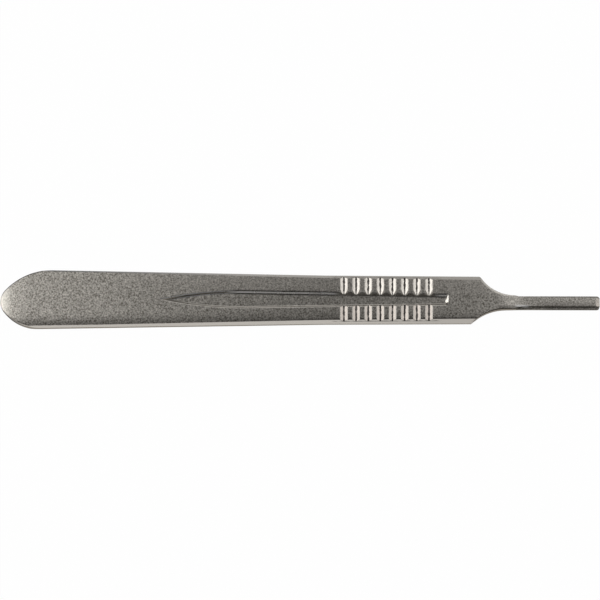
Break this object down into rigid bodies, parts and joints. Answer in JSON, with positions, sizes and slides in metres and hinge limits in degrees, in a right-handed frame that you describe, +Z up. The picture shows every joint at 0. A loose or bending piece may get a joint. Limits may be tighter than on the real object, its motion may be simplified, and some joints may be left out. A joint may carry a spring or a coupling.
{
  "type": "scalpel handle",
  "caption": "Flat one-piece steel handle for slip-on scalpel blades, with a rounded end, bevelled sides, a pointed channel, notched finger grips and a narrow grooved tang.",
  "frame": {"origin": "middle of the length and width, on the plane of the lower broad face that it lies on", "axes": "+X along the handle towards the blade tang, +Y across its width towards the side that the tang is set away from, +Z up through its thickness, out of the face with the tang's lip"},
  "size_m": [0.135, 0.0132, 0.003],
  "materials": {
    "steel": "bead-blasted stainless steel with polished side bevels"
  },
  "bodies": {
    "root": {"scalpel_handle": "steel"}
  },
  "joints": []
}
